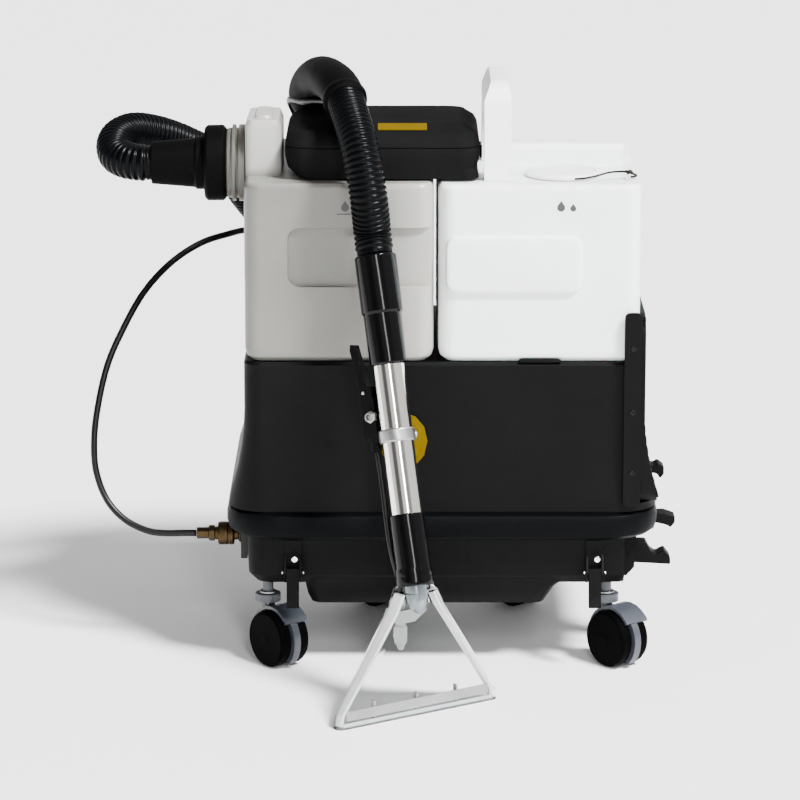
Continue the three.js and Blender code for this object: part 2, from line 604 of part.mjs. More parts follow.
// ---------------------------------------------------------------- latches under the bumper rim
const LATCHES = [{ side: "left", x: -151.5 }, { side: "right", x: 154.5 }];
const LATCH = { width: 18, pinZ: 103, pinY: -HY - 2.5 };
LATCHES.forEach(({ side, x }) => {
  const half = LATCH.width / 2;
  const face = -HY + 7 - GAP - 1;
  const cheek = polygonOutline([
    [face, 90], [face, 124], [LATCH.pinY - 1, 111], [LATCH.pinY - 5, 103], [LATCH.pinY - 1, 96],
  ]);
  const base = join(
    block(x - half, x + half, face - 2.4, face, 92, BUMPER_LOW - 3),
    plate(cheek, 2.4, V(x - half, 0, 0), Y, Z),
    plate(cheek, 2.4, V(x + half - 2.4, 0, 0), Y, Z),
    rod(V(x - half - 1.5, LATCH.pinY, LATCH.pinZ), V(x + half + 1.5, LATCH.pinY, LATCH.pinZ), 2, 12),
  );
  add(`latch_base_${side}`, base, BLACK);
  const inner = half - 2.4 - GAP;
  const lever = polygonOutline([
    [LATCH.pinY + 3.6, 105.5], [LATCH.pinY + 2, 107.6], [LATCH.pinY - 3.8, 107.6],
    [LATCH.pinY - 5.2, 98], [LATCH.pinY - 4.4, 82],
    [LATCH.pinY - 9, 69], [LATCH.pinY - 6.5, 67], [LATCH.pinY - 0.5, 80],
    [LATCH.pinY + 0.4, 95], [LATCH.pinY + 3.6, 99],
  ]);
  add(`latch_lever_${side}`, cut(
    plate(lever, 2 * inner, V(x - inner, 0, 0), Y, Z),
    rod(V(x - 20, LATCH.pinY, LATCH.pinZ), V(x + 20, LATCH.pinY, LATCH.pinZ), 2 + GAP, 12),
  ), BLACK);
});

// ---------------------------------------------------------------- casters
const side = TRAIL_DIR.clone().cross(Z);
Object.entries(CASTERS)
  .forEach(([name, [stemX, stemY]]) => {
    const stem = V(stemX, stemY, 0);
    const hub = stem.clone().addScaledVector(TRAIL_DIR, TRAIL).setZ(WHEEL_R);
    const along = (s) => hub.clone().addScaledVector(side, s);
    const fork = join(
      rod(stem.clone().setZ(58), stem.clone().setZ(POD_LOW - GAP), 5.5, 12),
      rod(stem.clone().setZ(64), stem.clone().setZ(72), 13, 16),
      rod(along(-4), along(4), WHEEL_R + 3.5, 24),
      cut(
        rod(along(-18), along(10), WHEEL_R + 4.5, 24),
        rod(along(-20), along(12), WHEEL_R + 1.5, 24),
        block(-40, 40, -40, 40, -60, 0).rotate([0, -38, THREE.MathUtils.radToDeg(
          Math.atan2(TRAIL_DIR.y, TRAIL_DIR.x))]).translate([hub.x, hub.y, hub.z]),
      ),
      block(-6, 6, -4, 4, 0, 12).rotate([0, 0, THREE.MathUtils.radToDeg(
        Math.atan2(TRAIL_DIR.y, TRAIL_DIR.x))]).translate([stem.x, stem.y, 56]),
    );
    add(`caster_hood_${name}`, cut(
      fork,
      rod(along(-9), along(9), 5 + GAP, 12),
      block(-60, 60, -60, 60, -30, 6).translate([hub.x, hub.y, 0]),
    ), BLACK);
    const disc = (from, to) => turned([
      [0, from], [WHEEL_R - 2, from], [WHEEL_R, from + 2], [WHEEL_R, to - 2], [WHEEL_R - 2, to], [0, to],
    ], hub, side, 24);
    add(`caster_wheels_${name}`, join(disc(-17, -4 - GAP), disc(4 + GAP, 17), rod(along(-6), along(6), 5, 12)),
      BLACK);
  });

// ---------------------------------------------------------------- solution coupling on the left wall
const couplingAt = (x) => V(x, couplingAxis.y, couplingAxis.z);
add("coupling_plate", cut(
  block(-HX - 7, -HX - GAP, couplingAxis.y - 16, couplingAxis.y + 16, 98, 137),
  rod(couplingAt(-HX - 12), couplingAt(-HX + 10), 8 + GAP, 20),
), GREY);
add("coupling_body", turned([
  [0, -6], [7.6, -6], [7.6, 7 + GAP], [9.5, 7 + GAP], [9.5, 9], [7, 10], [7, 34], [0, 34],
], couplingAt(-HX), axisX, 24), BRASS);
add("coupling_sleeve", turned([
  [7 + GAP, 14], [11, 14], [12, 15.5], [12, 19], [11.2, 20], [12, 21], [12, 29], [11, 31], [7 + GAP, 31],
], couplingAt(-HX), axisX, 28), BRASS);
add("coupling_ferrule", turned([
  [0, 34 + GAP], [8.6, 34 + GAP], [8.6, 40], [6.2, 41], [6.2, 53], [0, 53],
], couplingAt(-HX), axisX, 6), BRASS);

// ---------------------------------------------------------------- hand wand
const yaw = THREE.MathUtils.degToRad(NOZZLE_YAW);
const slotDir = V(Math.cos(yaw), Math.sin(yaw), 0);
const slotBack = V(-Math.sin(yaw), Math.cos(yaw), 0);
const knee = NOZZLE_FOOT.clone().setZ(NOZZLE_HEIGHT);
const wandDir = WAND_TOP.clone().sub(knee).normalize();
const WAND_LENGTH = WAND_TOP.distanceTo(knee);
const onWand = (t) => knee.clone().addScaledVector(wandDir, t);
const valveFlat = V(
  Math.cos(THREE.MathUtils.degToRad(VALVE_SIDE)),
  Math.sin(THREE.MathUtils.degToRad(VALVE_SIDE)),
  0,
);
const valveOut = valveFlat.clone().addScaledVector(wandDir, -valveFlat.dot(wandDir)).normalize();
const wandSide = wandDir.clone().cross(valveOut);
const valveAt = (out, t, across = 0) =>
  onWand(t).addScaledVector(valveOut, out).addScaledVector(wandSide, across);

const nozzleRing = (width, depth, z, inset, shift = 0) => {
  const w = width / 2 - inset;
  const d = depth / 2 - inset;
  return ring(-w, w, -d + shift, d + shift, Math.min(d - 0.5, 14), z, 5)
    .map((p) => NOZZLE_FOOT.clone().addScaledVector(slotDir, p.x).addScaledVector(slotBack, p.y).setZ(p.z));
};
const skirt = (inset, low, top) => loft([
  nozzleRing(NOZZLE_WIDTH, 15, low, inset),
  nozzleRing(NOZZLE_WIDTH - 4, 15, 12, inset),
  nozzleRing(112, 22, 70, inset),
  nozzleRing(62, 29, 108, inset),
  nozzleRing(44, 32, top, inset),
]);
const neckFrom = onWand(-16);
const neckTo = onWand(30);
add("nozzle", cut(
  join(skirt(0, 0, NOZZLE_HEIGHT), rod(onWand(-8), neckTo, 14.6, 24)),
  skirt(2.6, -2, NOZZLE_HEIGHT - 3),
  rod(neckFrom, onWand(34), 12, 24),
), CLEAR);

const cuffStart = 7.5;
add("wand_cuff", cut(
  turned([[0, 0], [17.5, 0], [18.5, 3], [18.5, 10], [17.5, 12], [17.5, 64], [0, 64]],
    onWand(cuffStart), wandDir, 28),
  rod(onWand(0), onWand(30 + GAP), 14.6 + GAP, 24),
), GLOSS);
add("wand_tube", rod(onWand(72), onWand(219.5), 15.7, 28), STEEL);
add("clamp_band", turned(ringProfile(15.7 + GAP, 18, 0, 13, 1), onWand(143), wandDir, 28), GREY);
add("wand_handle", turned([
  [0, 0], [17.6, 0], [18.4, 2], [19, 50], [20.6, 52], [20.8, WAND_LENGTH - 221.5], [19.5, WAND_LENGTH - 220],
  [0, WAND_LENGTH - 220],
], onWand(220), wandDir, 28), GLOSS);

const valveBlock = (o0, o1, t0, t1, half) => {
  const outline = polygonOutline([[o0, t0], [o1, t0], [o1, t1], [o0, t1]]);
  return plate(outline, 2 * half, onWand(0).addScaledVector(wandSide, half), valveOut, wandDir);
};
const pivot = { out: 29, t: 196 };
add("valve_body", cut(
  join(
    valveBlock(18.5, 34, 150, 190, 7),
    valveBlock(17, 24, 146, 154, 7),
    rod(valveAt(26, 138), valveAt(26, 152), 5.5, 12),
    rod(valveAt(27, 170, -6), valveAt(27, 170, -14), 4.5, 12),
    valveBlock(20, 33, 186, 202, 7),
  ),
  rod(onWand(130), onWand(210), 18 + GAP, 28),
  valveBlock(18, 36, 190.5, 204, 4.6),
  rod(valveAt(pivot.out, pivot.t, -12), valveAt(pivot.out, pivot.t, 12), 1.6 + GAP, 12),
), GLOSS);
add("lever_pin", rod(valveAt(pivot.out, pivot.t, -8.5), valveAt(pivot.out, pivot.t, 8.5), 1.6, 12), STEEL);
const leverOutline = polygonOutline([
  [32.5, 191.7], [35.5, 196], [37, 214], [42, 240], [40.5, 246], [35.5, 245], [33, 231],
  [30.5, 212], [26.5, 203], [25, 196], [26.5, 191.7],
]);
add("trigger_lever", cut(
  plate(leverOutline, 8.4, onWand(0).addScaledVector(wandSide, 4.2), valveOut, wandDir),
  rod(valveAt(pivot.out, pivot.t, -12), valveAt(pivot.out, pivot.t, 12), 1.6 + GAP, 12),
), BLACK);

const onNozzle = (across, back, z) =>
  NOZZLE_FOOT.clone().addScaledVector(slotDir, across).addScaledVector(slotBack, back).setZ(z);
const wing = polygonOutline([[-24, 98], [-22, 106], [-9, 101], [9, 101], [22, 106], [24, 98], [10, 88], [-10, 88]]);
const jetBack = 27;
add("jet_bracket", cut(
  join(
    plate(wing, 3, onNozzle(0, 19.5, 0), slotDir, Z),
    ...[-17, 17].map((a) => rod(onNozzle(a, 17.5, 99), onNozzle(a, 22.5, 99), 4, 12)),
    rod(onNozzle(0, jetBack, 88), onNozzle(0, jetBack, 100), 8.5, 20),
  ),
  rod(onNozzle(0, jetBack, 80), onNozzle(0, jetBack, 110), 5 + GAP, 20),
), GREY);
add("spray_jet", turned([
  [0, 0], [2.5, 0], [4.5, 6], [6.5, 8], [6.5, 24], [5, 26], [5, 52], [0, 52],
], onNozzle(0, jetBack, 58), Z, 20), GREY);
const pipeStart = onNozzle(0, jetBack, 110 + GAP * 2);
const pipeEnd = valveAt(26, 138 - GAP * 2);
const pipeMid = valveAt(24, 40);
const pipeTurn = pipeStart.clone().add(V(0, 0, 12));
add("solution_pipe", softTube([
  pipeStart.toArray(), pipeTurn.toArray(), pipeMid.toArray(), valveAt(25, 110).toArray(), pipeEnd.toArray(),
], 6, 8, 22), GLOSS);

// ---------------------------------------------------------------- hoses and the cap tether
const cuffEnd = nutFace - cuffTo;
const hoseTop = onWand(WAND_LENGTH + 0.8);
const HOSE_ROUTE = [
  [cuffEnd - 0.6, PORT.y, PORT.z],
  [cuffEnd - 10, PORT.y, PORT.z],
  [-319, -44, 508],
  [-331, -30, 511],
  [-335, -10, 519],
  [-330, 12, 525],
  [-317, 31, 527],
  [-296, 50, 521],
  [-272, 76, 508],
  [-247, 104, 490],
  [-222, 132, 466],
  [-207, 160, 438],
  [-184, 178, 404],
  [-160, 187, 364],
  [-138, 191, 322],
  [-106, 192, 270],
  [-60, 192, 222],
  [8, 192, 188],
  [86, 192, 190],
  [145, 192, 230],
  [173, 192, 299],
  [163, 192, 373],
  [120, 190, 431],
  [57, 187, 463],
  [-10, 182, 480],
  [-65, 172, 497],
  [-104, 150, 520],
  [-124, 112, 535],
  [-133, 71, 556],
  [-130, 38, 574],
  [-124, -2, 587],
  [-114, -50, 592],
  [-102, -100, 588],
  [-92, -145, 570],
  [-82, -178, 541],
  [-74, -190, 498],
  hoseTop.clone().addScaledVector(wandDir, 22).toArray(),
  hoseTop.toArray(),
];
add("suction_hose", softTube(HOSE_ROUTE, HOSE_D, 10, 70), RUBBER);

const thinStart = couplingAt(-HX - 53.6);
const thinEnd = valveAt(27, 170, -14.6);
const hoseCurve = new THREE.CatmullRomCurve3(HOSE_ROUTE.map((p) => V(...p)), false, "centripetal");
const BESIDE = 25.2;
const SHARE = {
  rearEdge: 0.735, behindHead: 0.76, rising: 0.785, overBack: 0.81,
  apex: 0.845, overFront: 0.88, falling: 0.92, front: 0.955,
};
function besideHose(share, x, y, z) {
  const along = hoseCurve.getTangentAt(share);
  const off = V(x, y, z);
  off.addScaledVector(along, -off.dot(along)).normalize();
  return hoseCurve.getPointAt(share).addScaledVector(off, BESIDE).toArray();
}
const THIN_ROUTE = [
  thinStart.toArray(),
  [-265, -60, 121],
  [-286, -59.5, 120.6],
  [-303, -58, 122.4],
  [-327, -52, 132.6],
  [-346, -44, 151],
  [-358, -36, 181],
  [-360, -30, 211],
  [-357, -22, 241.5],
  [-346.6, -8, 287],
  [-333, 6, 318],
  [-310, 28, 357],
  [-282, 52, 384.5],
  [-251.5, 78, 400.4],
  [-224, 104, 405],
  [-209, 130, 404],
  [-194, 148, 403],
  [-170, 149.6, 401],
  [-142, 149.6, 401],
  [-116, 149.8, 416],
  [-105, 151.5, 446],
  [-113, 158, 478],
  [-129, 153, 507],
  besideHose(SHARE.rearEdge, -1, 0, -0.1),
  besideHose(SHARE.behindHead, -0.8, 0, -1),
  besideHose(SHARE.rising, -1, -0.1, -0.25),
  besideHose(SHARE.overBack, -0.55, -0.2, -0.85),
  besideHose(SHARE.apex, 0, 0, -1),
  besideHose(SHARE.overFront, 0, 0.3, -1),
  besideHose(SHARE.falling, -0.1, 1, -0.8),
  besideHose(SHARE.front, -0.3, 1, -0.1),
  besideHose(0.985, -0.3, 1, 0),
  onWand(275).add(V(-2, 28, 0)).toArray(),
  onWand(235).add(V(-1, 30, 0)).toArray(),
  onWand(205).add(V(-3, 35, 0)).toArray(),
  valveAt(25, 184, -33).toArray(),
  valveAt(27, 172, -27).toArray(),
  thinEnd.toArray(),
];
add("solution_hose", softTube(THIN_ROUTE, THIN_D, 8, 76), RUBBER);

const TETHER_ROUTE = [
  [FILLER.x + 10, FILLER.y - 40.2, 503.4],
  [FILLER.x + 19, FILLER.y - 41, 504.2],
  [FILLER.x + 31, FILLER.y - 38, 506],
  [FILLER.x + 44, FILLER.y - 32, 508.5],
  [FILLER.x + 55, FILLER.y - 26, 508.5],
  [LUG.x - 3, LUG.y + 6.5, 507],
  [LUG.x + 4, LUG.y + 6, 505],
  [LUG.x + 6, LUG.y, 504.5],
  [LUG.x + 3.5, LUG.y - 4.5, 504.3],
  [LUG.x, LUG.y - 4.6, 504.3],
];
add("cap_tether", softTube(TETHER_ROUTE, 2.2, 8, 30), RUBBER);

// ---------------------------------------------------------------- origin: middle of the footprint, on the floor
const SOFT = ["suction_hose", "solution_hose", "cap_tether"];
const footprint = new THREE.Box3();
group.children.filter((m) => !SOFT.includes(m.name)).forEach((m) => {
  m.geometry.computeBoundingBox();
  footprint.union(m.geometry.boundingBox);
});
const middle = footprint.getCenter(V(0, 0, 0));
const shift = V(-middle.x, -middle.y, -footprint.min.z);
group.children.forEach((m) => m.geometry.translate(shift.x, shift.y, shift.z));
export default group;
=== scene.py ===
"""Looks for the carpet cleaner: camera, materials, hoses, casters, latches, tanks, wand, nozzle and lights.

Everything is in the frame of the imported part, in metres. Places and profiles are written in millimetres,
and places count from the middle of the machine's body, which comes from the frame's own boxes.
"""

import math

import bmesh
import bpy
import numpy as np
from mathutils import Matrix, Vector


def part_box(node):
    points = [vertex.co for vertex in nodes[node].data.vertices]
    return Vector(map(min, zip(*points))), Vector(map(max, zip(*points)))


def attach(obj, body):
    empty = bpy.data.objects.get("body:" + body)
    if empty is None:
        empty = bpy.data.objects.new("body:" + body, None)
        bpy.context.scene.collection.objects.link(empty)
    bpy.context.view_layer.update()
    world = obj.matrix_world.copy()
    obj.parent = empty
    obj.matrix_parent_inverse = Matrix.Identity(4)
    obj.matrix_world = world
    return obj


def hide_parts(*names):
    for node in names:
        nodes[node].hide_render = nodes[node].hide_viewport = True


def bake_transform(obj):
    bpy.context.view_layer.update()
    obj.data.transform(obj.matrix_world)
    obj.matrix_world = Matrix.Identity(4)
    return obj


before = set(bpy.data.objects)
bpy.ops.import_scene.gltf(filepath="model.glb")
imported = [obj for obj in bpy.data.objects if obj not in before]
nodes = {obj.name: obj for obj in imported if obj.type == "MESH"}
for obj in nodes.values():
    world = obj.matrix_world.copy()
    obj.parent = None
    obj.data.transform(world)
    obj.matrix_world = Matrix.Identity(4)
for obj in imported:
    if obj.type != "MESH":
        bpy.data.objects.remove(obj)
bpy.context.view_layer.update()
MM = 0.001
X, Y, Z = Vector((1, 0, 0)), Vector((0, 1, 0)), Vector((0, 0, 1))

# The part is laid out about the middle of the machine's body; this is that point in the row frame.
shell_low, shell_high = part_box("body_shell")
CENTRE = Vector(((shell_low.x + shell_high.x) / 2, (shell_low.y + shell_high.y) / 2, 0.0))


def at(x, y, z):
    """Row-frame point of a place given in millimetres from the middle of the machine's footprint."""
    return CENTRE + Vector((x, y, z)) * MM


# ---------------------------------------------------------------- camera
TARGET = at(-42.9, 0, 248.2)
ELEVATION = math.radians(13.0)
DISTANCE = 4.0
LENS = 172.7
SENSOR = 36.0
FAR_CLIP = 50.0


def add_camera():
    """Camera straight in front of the machine, looking down on it a little."""
    back = Vector((0.0, -math.cos(ELEVATION), math.sin(ELEVATION)))
    up = back.cross(X)
    data = bpy.data.cameras.new("camera")
    data.lens = LENS
    data.sensor_width = SENSOR
    data.clip_end = FAR_CLIP
    camera = bpy.data.objects.new("camera", data)
    turn = Matrix((X, up, back)).transposed().to_4x4()
    camera.matrix_world = Matrix.Translation(TARGET + back * DISTANCE) @ turn
    bpy.context.scene.collection.objects.link(camera)
    bpy.context.scene.camera = camera


add_camera()


# ---------------------------------------------------------------- materials
BUMP_DEPTH = 0.0004
SMUDGES_PER_PATCH = 3.5
GLOSSIEST = 0.02


def material(name, color, roughness, metallic=0.0, spread=0.12, grain=0.0, grain_size=900.0,
             patch_size=9.0, rough_spread=0.08, **sockets):
    """Procedural surface: broad colour patches, roughness that wanders, and a fine bump."""
    m = bpy.data.materials.new(name)
    m.use_nodes = True
    tree = m.node_tree
    shader = tree.nodes["Principled BSDF"]
    shader.inputs["Metallic"].default_value = metallic
    for socket, value in sockets.items():
        shader.inputs[socket.replace("_", " ")].default_value = value
    place = tree.nodes.new("ShaderNodeTexCoord")

    patches = tree.nodes.new("ShaderNodeTexNoise")
    patches.inputs["Scale"].default_value = patch_size
    patches.inputs["Detail"].default_value = 5.0
    tree.links.new(place.outputs["Object"], patches.inputs["Vector"])
    ramp = tree.nodes.new("ShaderNodeValToRGB")
    low = [c * (1 - spread) for c in color]
    high = [min(1.0, c * (1 + spread)) for c in color]
    ramp.color_ramp.elements[0].position = 0.3
    ramp.color_ramp.elements[0].color = (*low, 1.0)
    ramp.color_ramp.elements[1].position = 0.7
    ramp.color_ramp.elements[1].color = (*high, 1.0)
    tree.links.new(patches.outputs["Fac"], ramp.inputs["Fac"])
    tree.links.new(ramp.outputs["Color"], shader.inputs["Base Color"])

    smudge = tree.nodes.new("ShaderNodeTexNoise")
    smudge.inputs["Scale"].default_value = patch_size * SMUDGES_PER_PATCH
    smudge.inputs["Detail"].default_value = 6.0
    tree.links.new(place.outputs["Object"], smudge.inputs["Vector"])
    span = tree.nodes.new("ShaderNodeMapRange")
    span.inputs["To Min"].default_value = max(GLOSSIEST, roughness - rough_spread)
    span.inputs["To Max"].default_value = min(1.0, roughness + rough_spread)
    tree.links.new(smudge.outputs["Fac"], span.inputs["Value"])
    tree.links.new(span.outputs["Result"], shader.inputs["Roughness"])

    if grain:
        fine = tree.nodes.new("ShaderNodeTexNoise")
        fine.inputs["Scale"].default_value = grain_size
        fine.inputs["Detail"].default_value = 3.0
        tree.links.new(place.outputs["Object"], fine.inputs["Vector"])
        bump = tree.nodes.new("ShaderNodeBump")
        bump.inputs["Strength"].default_value = grain
        bump.inputs["Distance"].default_value = BUMP_DEPTH
        tree.links.new(fine.outputs["Fac"], bump.inputs["Height"])
        tree.links.new(bump.outputs["Normal"], shader.inputs["Normal"])
    return m


BLACK = material("black_moulding", (0.0011, 0.0011, 0.0012), 0.5, grain=0.22, spread=0.3,
                 Specular_IOR_Level=0.07)
BUMPER = material("bumper_moulding", (0.0008, 0.0011, 0.0014), 0.5, grain=0.3, spread=0.2,
                  Specular_IOR_Level=0.04)
HEAD = material("head_moulding", (0.005, 0.005, 0.0052), 0.7, grain=0.15, spread=0.25,
                Specular_IOR_Level=0.01)
RUBBER = material("hose_rubber", (0.0008, 0.001, 0.0013), 0.3, grain=0.2, grain_size=500.0, spread=0.25,
                  Specular_IOR_Level=0.05)
SLEEVE = material("hose_sleeve_rubber", (0.001, 0.001, 0.001), 0.6, grain=0.25, grain_size=500.0,
                  spread=0.3, Specular_IOR_Level=0.03)
THIN = material("solution_hose_rubber", (0.002, 0.002, 0.0022), 0.35, grain=0.1, spread=0.2,
                Specular_IOR_Level=0.2)
GLOSS = material("gloss_black", (0.0012, 0.0012, 0.0014), 0.13, rough_spread=0.04, spread=0.1, grain=0.03,
                 Specular_IOR_Level=0.13)
CASTER = material("caster_wheel_plastic", (0.0006, 0.0006, 0.0007), 0.55, grain=0.25, spread=0.15,
                  Specular_IOR_Level=0.015)
HOOD = material("caster_hood_plastic", (0.03, 0.034, 0.043), 0.33, grain=0.2, spread=0.15)
STEEL = material("polished_steel", (0.95, 0.92, 0.86), 0.1, metallic=1.0, spread=0.04, rough_spread=0.05,
                 grain=0.05, grain_size=1500.0)
ZINC = material("zinc_plate", (0.36, 0.36, 0.355), 0.36, metallic=1.0, spread=0.15, grain=0.15,
                grain_size=700.0)
DARK_ZINC = material("dulled_zinc_plate", (0.009, 0.01, 0.009), 0.45, metallic=0.6, spread=0.2, grain=0.2,
                     grain_size=600.0)
BRASS = material("machined_brass", (0.05, 0.033, 0.015), 0.36, metallic=1.0, spread=0.3, grain=0.15)
YELLOW = material("printed_yellow", (0.095, 0.06, 0.0), 0.65, spread=0.2, grain=0.1,
                  Specular_IOR_Level=0.03)
CLEAN = material("clean_tank_polyethylene", (0.93, 0.925, 0.915), 0.36, spread=0.03, grain=0.12,
                 grain_size=260.0, Subsurface_Weight=0.3, Subsurface_Scale=0.01)
# The waste tank's plastic is painted much darker than the clean tank's. This is painted shade for the
# machine's left side, away from the key light.
WASTE_SHADED = material("waste_tank_polyethylene", (0.125, 0.122, 0.11), 0.36, spread=0.1, grain=0.12,
                 grain_size=260.0, Subsurface_Weight=0.25, Subsurface_Scale=0.01)
PORT_RING = material("port_polyethylene", (0.055, 0.052, 0.043), 0.4, spread=0.12, grain=0.15,
                     grain_size=260.0, Subsurface_Weight=0.2, Subsurface_Scale=0.01)
CLEAR = material("clear_polycarbonate", (0.99, 0.995, 0.995), 0.03, spread=0.005, rough_spread=0.02,
                 grain=0.02, Transmission_Weight=1.0, IOR=1.08)
FROSTED = material("frosted_nozzle_wall", (0.95, 0.955, 0.955), 0.3, spread=0.02, grain=0.08,
                   Subsurface_Weight=0.3, Subsurface_Scale=0.01)
CHANNEL = material("nozzle_channel_grey", (0.42, 0.43, 0.42), 0.35, spread=0.12, grain=0.12)
THROAT = material("nozzle_throat_grey", (0.22, 0.25, 0.27), 0.12, spread=0.2, grain=0.05, metallic=0.4)
INK = material("pictogram_ink", (0.03, 0.03, 0.03), 0.55, spread=0.15, grain=0.1)


SHOULDER_Z = at(0, 0, 498).z
PALE_END = 65 * MM
PALE_RISE = 12 * MM


def paint_inner_end_light_and_pale_riser(finish, node, pale):
    """Paler colour is painted onto the milky plastic in two places. Towards the tank's inner end, which faces
    the key light, it is painted light. It is also paler in its riser.
    """
    inner_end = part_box(node)[1].x
    tree = finish.node_tree
    color = tree.nodes["Principled BSDF"].inputs["Base Color"]
    place = tree.nodes.new("ShaderNodeTexCoord")
    split = tree.nodes.new("ShaderNodeSeparateXYZ")
    tree.links.new(place.outputs["Object"], split.inputs["Vector"])
    most = tree.nodes.new("ShaderNodeMath")
    most.operation = "MAXIMUM"
    fades = [("X", inner_end - PALE_END, inner_end), ("Z", SHOULDER_Z, SHOULDER_Z + PALE_RISE)]
    for i, (axis, start, end) in enumerate(fades):
        span = tree.nodes.new("ShaderNodeMapRange")
        span.inputs["From Min"].default_value = start
        span.inputs["From Max"].default_value = end
        tree.links.new(split.outputs[axis], span.inputs["Value"])
        tree.links.new(span.outputs["Result"], most.inputs[i])
    mix = tree.nodes.new("ShaderNodeMixRGB")
    mix.inputs["Color2"].default_value = (*pale, 1.0)
    tree.links.new(color.links[0].from_socket, mix.inputs["Color1"])
    tree.links.new(most.outputs["Value"], mix.inputs["Fac"])
    tree.links.new(mix.outputs["Color"], color)


# Painted light: the waste tank is painted paler towards its inner end, which faces the key light. It is also
# paler in its riser.
paint_inner_end_light_and_pale_riser(WASTE_SHADED, "waste_tank", (0.34, 0.335, 0.31))

FINISH = {
    "chassis": BLACK, "body_shell": BLACK, "shell_tab": BLACK, "side_grille": BLACK, "cord_gland": BLACK,
    "cord_hook_top": BLACK, "cord_hook_middle": BLACK, "cord_hook_bottom": BLACK,
    "latch_lever_left": BLACK, "latch_lever_right": BLACK, "latch_base_left": BLACK,
    "latch_base_right": BLACK, "solution_pump": BLACK, "hose_nut": SLEEVE, "bumper": BUMPER,
    "motor_head_base": HEAD, "motor_head_cover": HEAD, "head_catch": GLOSS, "waste_tank": WASTE_SHADED,
    "tank_port": PORT_RING, "clean_tank": CLEAN, "carry_handle": CLEAN, "filler_cap": CLEAN,
    "tether_lug": CLEAN, "hose_cuff": SLEEVE, "suction_hose": RUBBER, "solution_hose": THIN,
    "cap_tether": THIN, "wand_cuff": GLOSS, "wand_handle": GLOSS, "valve_body": BLACK,
    "trigger_lever": BLACK, "switch_plate": GLOSS, "switch_rocker_left": GLOSS,
    "switch_rocker_right": GLOSS, "wand_tube": STEEL, "lever_pin": STEEL, "solution_pipe": THIN,
    "vacuum_motor": ZINC, "coupling_plate": DARK_ZINC, "clamp_band": ZINC, "jet_bracket": CHANNEL,
    "spray_jet": CHANNEL, "coupling_body": BRASS, "coupling_sleeve": BRASS, "coupling_ferrule": BRASS,
    "nozzle": CLEAR, "front_badge": YELLOW, "head_strip": YELLOW, "caster_hood": HOOD,
    "caster_wheels": CASTER,
}
EDGE = {"wand_tube": 0.2, "lever_pin": 0.2, "head_strip": 0.15, "nozzle": 0.5, "carry_handle": 3.0,
        "waste_tank": 1.5, "clean_tank": 1.5, "motor_head_cover": 1.5, "tank_port": 0.4}
USUAL_EDGE = 0.6
CREASE = math.radians(32)
WELD_REACH = 1e-5


def soften(o, edge_mm):
    """Rounded edges and weighted normals."""
    bevel = o.modifiers.new("bevel", "BEVEL")
    bevel.width = edge_mm * MM
    bevel.segments = 2
    bevel.limit_method = "ANGLE"
    bevel.angle_limit = CREASE
    o.modifiers.new("normals", "WEIGHTED_NORMAL").keep_sharp = False


def finish_cad(name, finish, edge_mm):
    """Gives a CAD node its material, soft edges and smooth shading. Its own vertices stay as they are."""
    o = nodes[name]
    o.data.materials.clear()
    o.data.materials.append(finish)
    weld = o.modifiers.new("weld", "WELD")
    weld.merge_threshold = WELD_REACH
    o.data.shade_smooth()
    soften(o, edge_mm)


for node_name in nodes:
    kind = "_".join(node_name.split("_")[:2]) if node_name.startswith("caster_") else node_name
    finish_cad(node_name, FINISH[kind], EDGE.get(node_name, USUAL_EDGE))


def new_object(name, verts, faces, finish):
    """Smooth-shaded mesh with its faces turned outwards."""
    mesh = bpy.data.meshes.new(name)
    mesh.from_pydata([tuple(v) for v in verts], [], faces)
    work = bmesh.new()
    work.from_mesh(mesh)
    bmesh.ops.recalc_face_normals(work, faces=work.faces)
    work.to_mesh(mesh)
    work.free()
    mesh.materials.append(finish)
    mesh.shade_smooth()
    o = bpy.data.objects.new(name, mesh)
    bpy.context.scene.collection.objects.link(o)
    return o


def add_piece(o, body):
    """Makes a piece move with a body."""
    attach(o, body)


def lathe(name, profile, origin, axis, finish, closed=False, segments=40, edge=0.15):
    """Turned shape from (radius, distance along the axis) pairs in mm; closed joins the last to the first."""
    axis = Vector(axis).normalized()
    side = axis.orthogonal().normalized()
    up = axis.cross(side)
    verts = []
    for radius, along in profile:
        for i in range(segments):
            a = 2 * math.pi * i / segments
            out = (side * math.cos(a) + up * math.sin(a)) * radius
            verts.append(Vector(origin) + (axis * along + out) * MM)
    rows = len(profile)
    faces = []
    for j in range(rows if closed else rows - 1):
        k = (j + 1) % rows
        for i in range(segments):
            n = (i + 1) % segments
            faces.append((j * segments + i, j * segments + n, k * segments + n, k * segments + i))
    if not closed:
        faces.append(tuple(range(segments)))
        faces.append(tuple((rows - 1) * segments + i for i in range(segments)))
    o = new_object(name, verts, faces, finish)
    soften(o, edge)
    return o


def plate(name, outline, thickness, origin, u, v, finish, edge=0.2):
    """Flat shape: an outline in mm on directions u and v, made thick along u x v."""
    u, v = Vector(u).normalized(), Vector(v).normalized()
    out = u.cross(v) * thickness * MM
    ring = [Vector(origin) + (u * a + v * b) * MM for a, b in outline]
    n = len(ring)
    faces = [tuple(range(n)), tuple(range(n, 2 * n))]
    faces += [(i, (i + 1) % n, n + (i + 1) % n, n + i) for i in range(n)]
    o = new_object(name, ring + [p + out for p in ring], faces, finish)
    soften(o, edge)
    return o


def rounded(x0, x1, y0, y1, r, steps=5):
    """Outline of a rectangle with rounded corners."""
    corners = [(x1 - r, y1 - r, 0), (x0 + r, y1 - r, 90), (x0 + r, y0 + r, 180), (x1 - r, y0 + r, 270)]
    out = []
    for cx, cy, from_angle in corners:
        for i in range(steps + 1):
            a = math.radians(from_angle + 90 * i / steps)
            out.append((cx + r * math.cos(a), cy + r * math.sin(a)))
    return out


